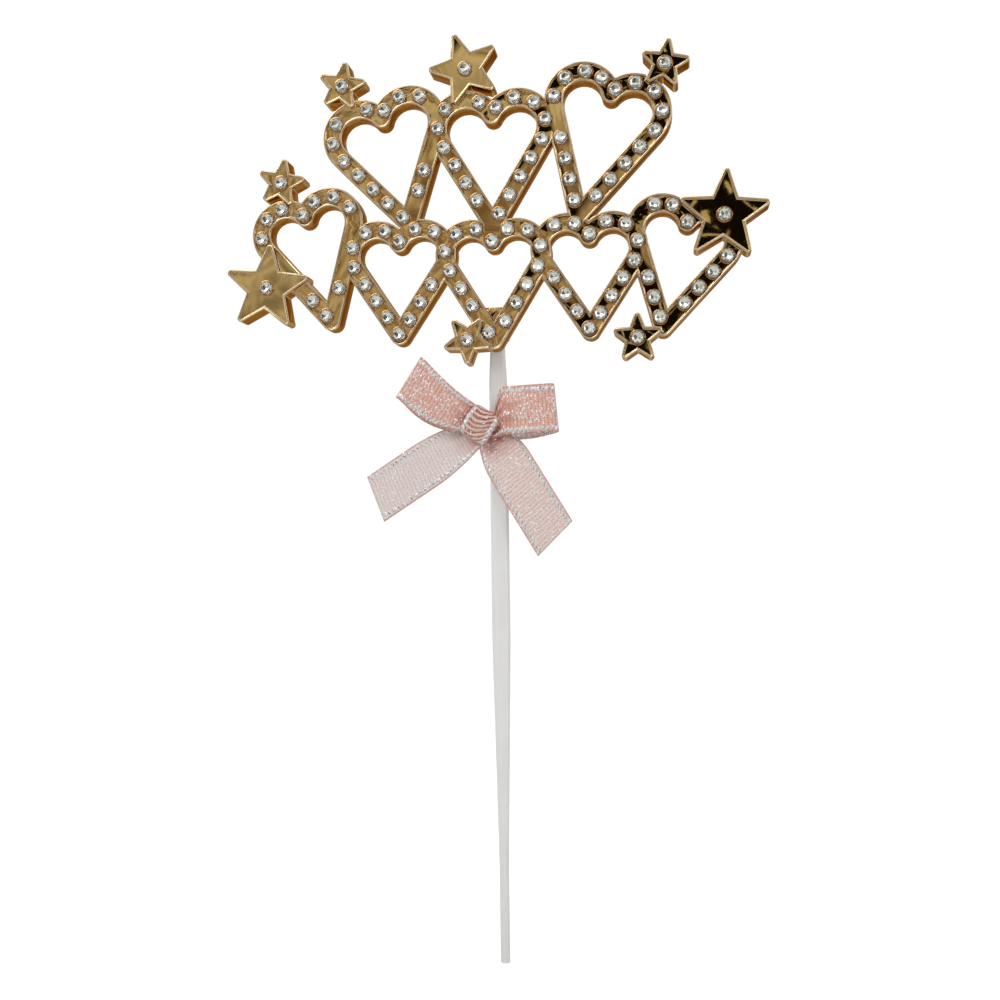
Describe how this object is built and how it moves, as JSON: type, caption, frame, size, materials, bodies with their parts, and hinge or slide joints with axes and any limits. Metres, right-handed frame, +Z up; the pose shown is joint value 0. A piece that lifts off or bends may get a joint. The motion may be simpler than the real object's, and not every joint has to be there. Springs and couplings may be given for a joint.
{
  "type": "cake topper",
  "caption": "Flat gold openwork plaque of hearts and stars set with clear stones, on a white push-in stick with a pink ribbon bow that slides on it; stands in the top of a cake.",
  "frame": {"origin": "centre of the stick's square-cut lower end", "axes": "+Z up the stick, the set front faces -Y, +X to the right as seen from the front"},
  "size_m": [0.1141, 0.0088, 0.1944],
  "materials": {
    "gold_plating": "moulded ABS with a mirror-bright gold plating",
    "white_plastic": "moulded, matte, faintly streaked along its length",
    "clear_stone": "faceted, silver-foiled back",
    "pink_ribbon": "sheer woven ribbon with a metallic silver thread and edge stitch"
  },
  "bodies": {
    "topper": {"gold_plaque": "gold_plating", "stick": "white_plastic", "stones_lower_centre": "clear_stone", "stones_lower_left": "clear_stone", "stones_lower_right": "clear_stone", "stones_far_left": "clear_stone", "stones_far_right": "clear_stone", "stones_upper_centre": "clear_stone", "stones_upper_left": "clear_stone", "stones_upper_right": "clear_stone", "stone_star_top": "clear_stone", "stone_star_left": "clear_stone", "stone_star_right": "clear_stone", "stones_small_stars": "clear_stone"},
    "bow": {"bow_knot": "pink_ribbon", "bow_wrap": "pink_ribbon", "bow_loop_left": "pink_ribbon", "bow_loop_right": "pink_ribbon", "bow_tail_left": "pink_ribbon", "bow_tail_right": "pink_ribbon"}
  },
  "joints": [
    {"name": "bow_slide", "type": "slide", "parent": "topper", "child": "bow", "axis": [0, 0, 1], "range_m": [-0.04, 0.003]}
  ]
}
